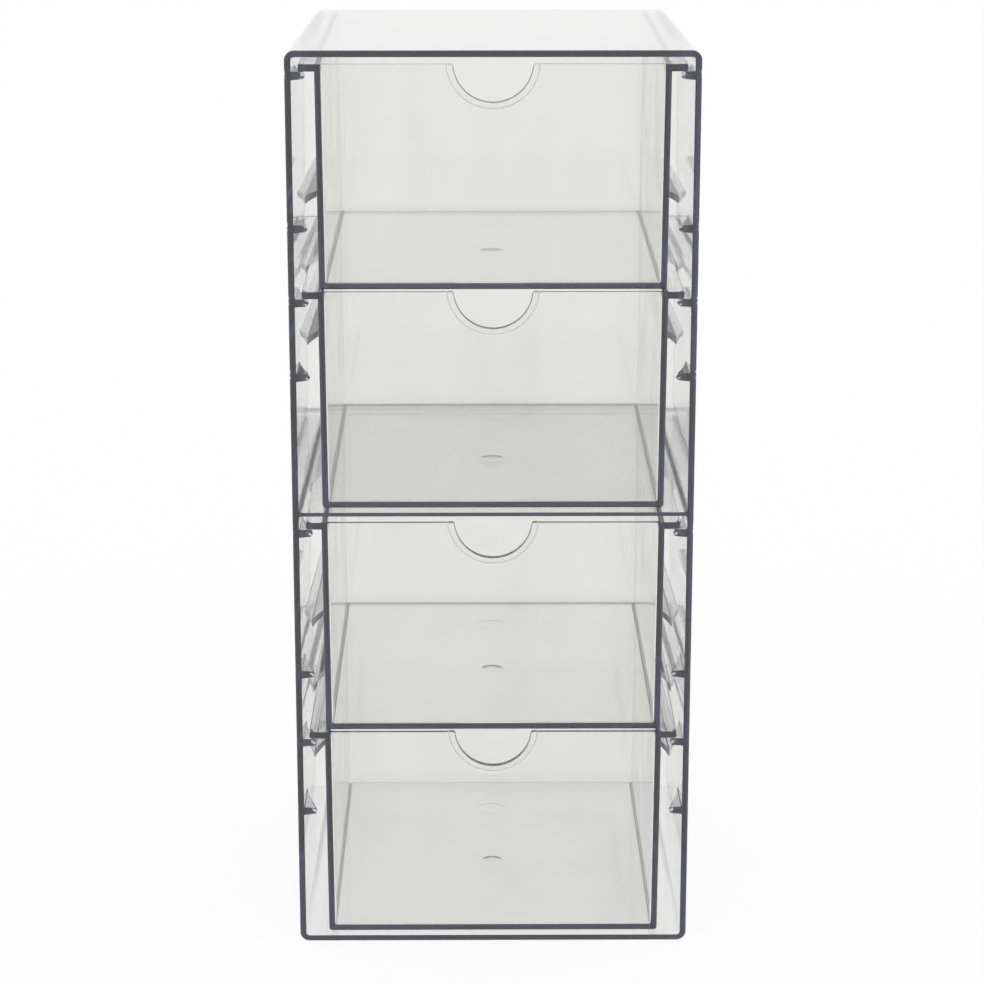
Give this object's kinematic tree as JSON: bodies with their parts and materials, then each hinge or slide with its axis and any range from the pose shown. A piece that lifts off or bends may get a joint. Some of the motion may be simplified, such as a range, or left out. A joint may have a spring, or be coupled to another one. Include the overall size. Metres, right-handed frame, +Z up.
{
  "type": "drawer tower for make-up",
  "caption": "Tall clear plastic vanity tower: a casing with side rails and a middle shelf, holding equal drawers that hang by side flanges and have half-round finger notches.",
  "frame": {"origin": "centre of the casing's rest face, on the table", "axes": "+Z up, -Y towards the open front where the drawers come out, +X to the right seen from the front"},
  "size_m": [0.165, 0.178, 0.38],
  "materials": {
    "clear_casing": "clear, polished, faint grey tint",
    "clear_drawer": "clear, polished, faint grey tint"
  },
  "bodies": {
    "casing": {"casing": "clear_casing"},
    "drawer_1": {"drawer_1": "clear_drawer"},
    "drawer_2": {"drawer_2": "clear_drawer"},
    "drawer_3": {"drawer_3": "clear_drawer"},
    "drawer_4": {"drawer_4": "clear_drawer"}
  },
  "joints": [
    {"name": "drawer_1_slide", "type": "slide", "parent": "casing", "child": "drawer_1", "axis": [0, -1, 0], "range_m": [0, 0.15]},
    {"name": "drawer_2_slide", "type": "slide", "parent": "casing", "child": "drawer_2", "axis": [0, -1, 0], "range_m": [0, 0.15]},
    {"name": "drawer_3_slide", "type": "slide", "parent": "casing", "child": "drawer_3", "axis": [0, -1, 0], "range_m": [0, 0.15]},
    {"name": "drawer_4_slide", "type": "slide", "parent": "casing", "child": "drawer_4", "axis": [0, -1, 0], "range_m": [0, 0.15]}
  ]
}
